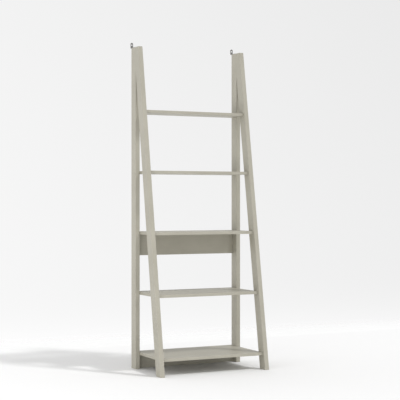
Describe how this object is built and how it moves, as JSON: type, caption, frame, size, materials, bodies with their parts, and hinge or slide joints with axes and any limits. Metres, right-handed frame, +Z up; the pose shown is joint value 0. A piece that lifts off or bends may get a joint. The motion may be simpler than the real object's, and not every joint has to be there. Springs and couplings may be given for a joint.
{
  "type": "ladder shelf",
  "caption": "Ladder-style open bookcase: leaning front legs, upright rear posts, shelves that get deeper downwards, two back panels and wall brackets.",
  "frame": {"origin": "on the floor, in the middle of the whole outline, wall brackets included", "axes": "+X to the right as seen from the front, +Y to the wall behind, +Z up"},
  "size_m": [0.655, 0.4228, 1.813],
  "materials": {
    "painted_wood": "satin warm grey paint on board",
    "dowel_wood": "bare fluted beech",
    "cam_zinc": "cast zinc, dull",
    "bolt_steel": "zinc plated",
    "screw_steel": "zinc plated",
    "bracket_steel": "zinc plated sheet, dull"
  },
  "bodies": {
    "root": {"bottom_back_panel": "painted_wood", "bottom_back_panel_left_dowel_lower": "dowel_wood", "bottom_back_panel_left_dowel_upper": "dowel_wood", "bottom_back_panel_right_dowel_lower": "dowel_wood", "bottom_back_panel_right_dowel_upper": "dowel_wood", "bottom_shelf": "painted_wood", "bottom_shelf_left_cam_bolt": "bolt_steel", "bottom_shelf_left_cam_lock": "cam_zinc", "bottom_shelf_left_dowel": "dowel_wood", "bottom_shelf_right_cam_bolt": "bolt_steel", "bottom_shelf_right_cam_lock": "cam_zinc", "bottom_shelf_right_dowel": "dowel_wood", "left_frame_dowel_lower": "dowel_wood", "left_frame_dowel_upper": "dowel_wood", "left_front_leg": "painted_wood", "left_rear_post": "painted_wood", "left_wall_bracket": "bracket_steel", "left_wall_bracket_screw": "screw_steel", "lower_shelf": "painted_wood", "lower_shelf_left_cam_bolt": "bolt_steel", "lower_shelf_left_cam_lock": "cam_zinc", "lower_shelf_left_dowel": "dowel_wood", "lower_shelf_right_cam_bolt": "bolt_steel", "lower_shelf_right_cam_lock": "cam_zinc", "lower_shelf_right_dowel": "dowel_wood", "middle_back_panel": "painted_wood", "middle_back_panel_left_cam_bolt": "bolt_steel", "middle_back_panel_left_cam_lock": "cam_zinc", "middle_back_panel_left_dowel": "dowel_wood", "middle_back_panel_right_cam_bolt": "bolt_steel", "middle_back_panel_right_cam_lock": "cam_zinc", "middle_back_panel_right_dowel": "dowel_wood", "middle_shelf": "painted_wood", "middle_shelf_left_cam_bolt": "bolt_steel", "middle_shelf_left_cam_lock": "cam_zinc", "middle_shelf_left_dowel": "dowel_wood", "middle_shelf_right_cam_bolt": "bolt_steel", "middle_shelf_right_cam_lock": "cam_zinc", "middle_shelf_right_dowel": "dowel_wood", "right_frame_dowel_lower": "dowel_wood", "right_frame_dowel_upper": "dowel_wood", "right_front_leg": "painted_wood", "right_rear_post": "painted_wood", "right_wall_bracket": "bracket_steel", "right_wall_bracket_screw": "screw_steel", "top_shelf": "painted_wood", "top_shelf_left_cam_bolt": "bolt_steel", "top_shelf_left_cam_lock": "cam_zinc", "top_shelf_left_dowel": "dowel_wood", "top_shelf_right_cam_bolt": "bolt_steel", "top_shelf_right_cam_lock": "cam_zinc", "top_shelf_right_dowel": "dowel_wood", "upper_shelf": "painted_wood", "upper_shelf_left_cam_bolt": "bolt_steel", "upper_shelf_left_cam_lock": "cam_zinc", "upper_shelf_left_dowel": "dowel_wood", "upper_shelf_right_cam_bolt": "bolt_steel", "upper_shelf_right_cam_lock": "cam_zinc", "upper_shelf_right_dowel": "dowel_wood"}
  },
  "joints": []
}
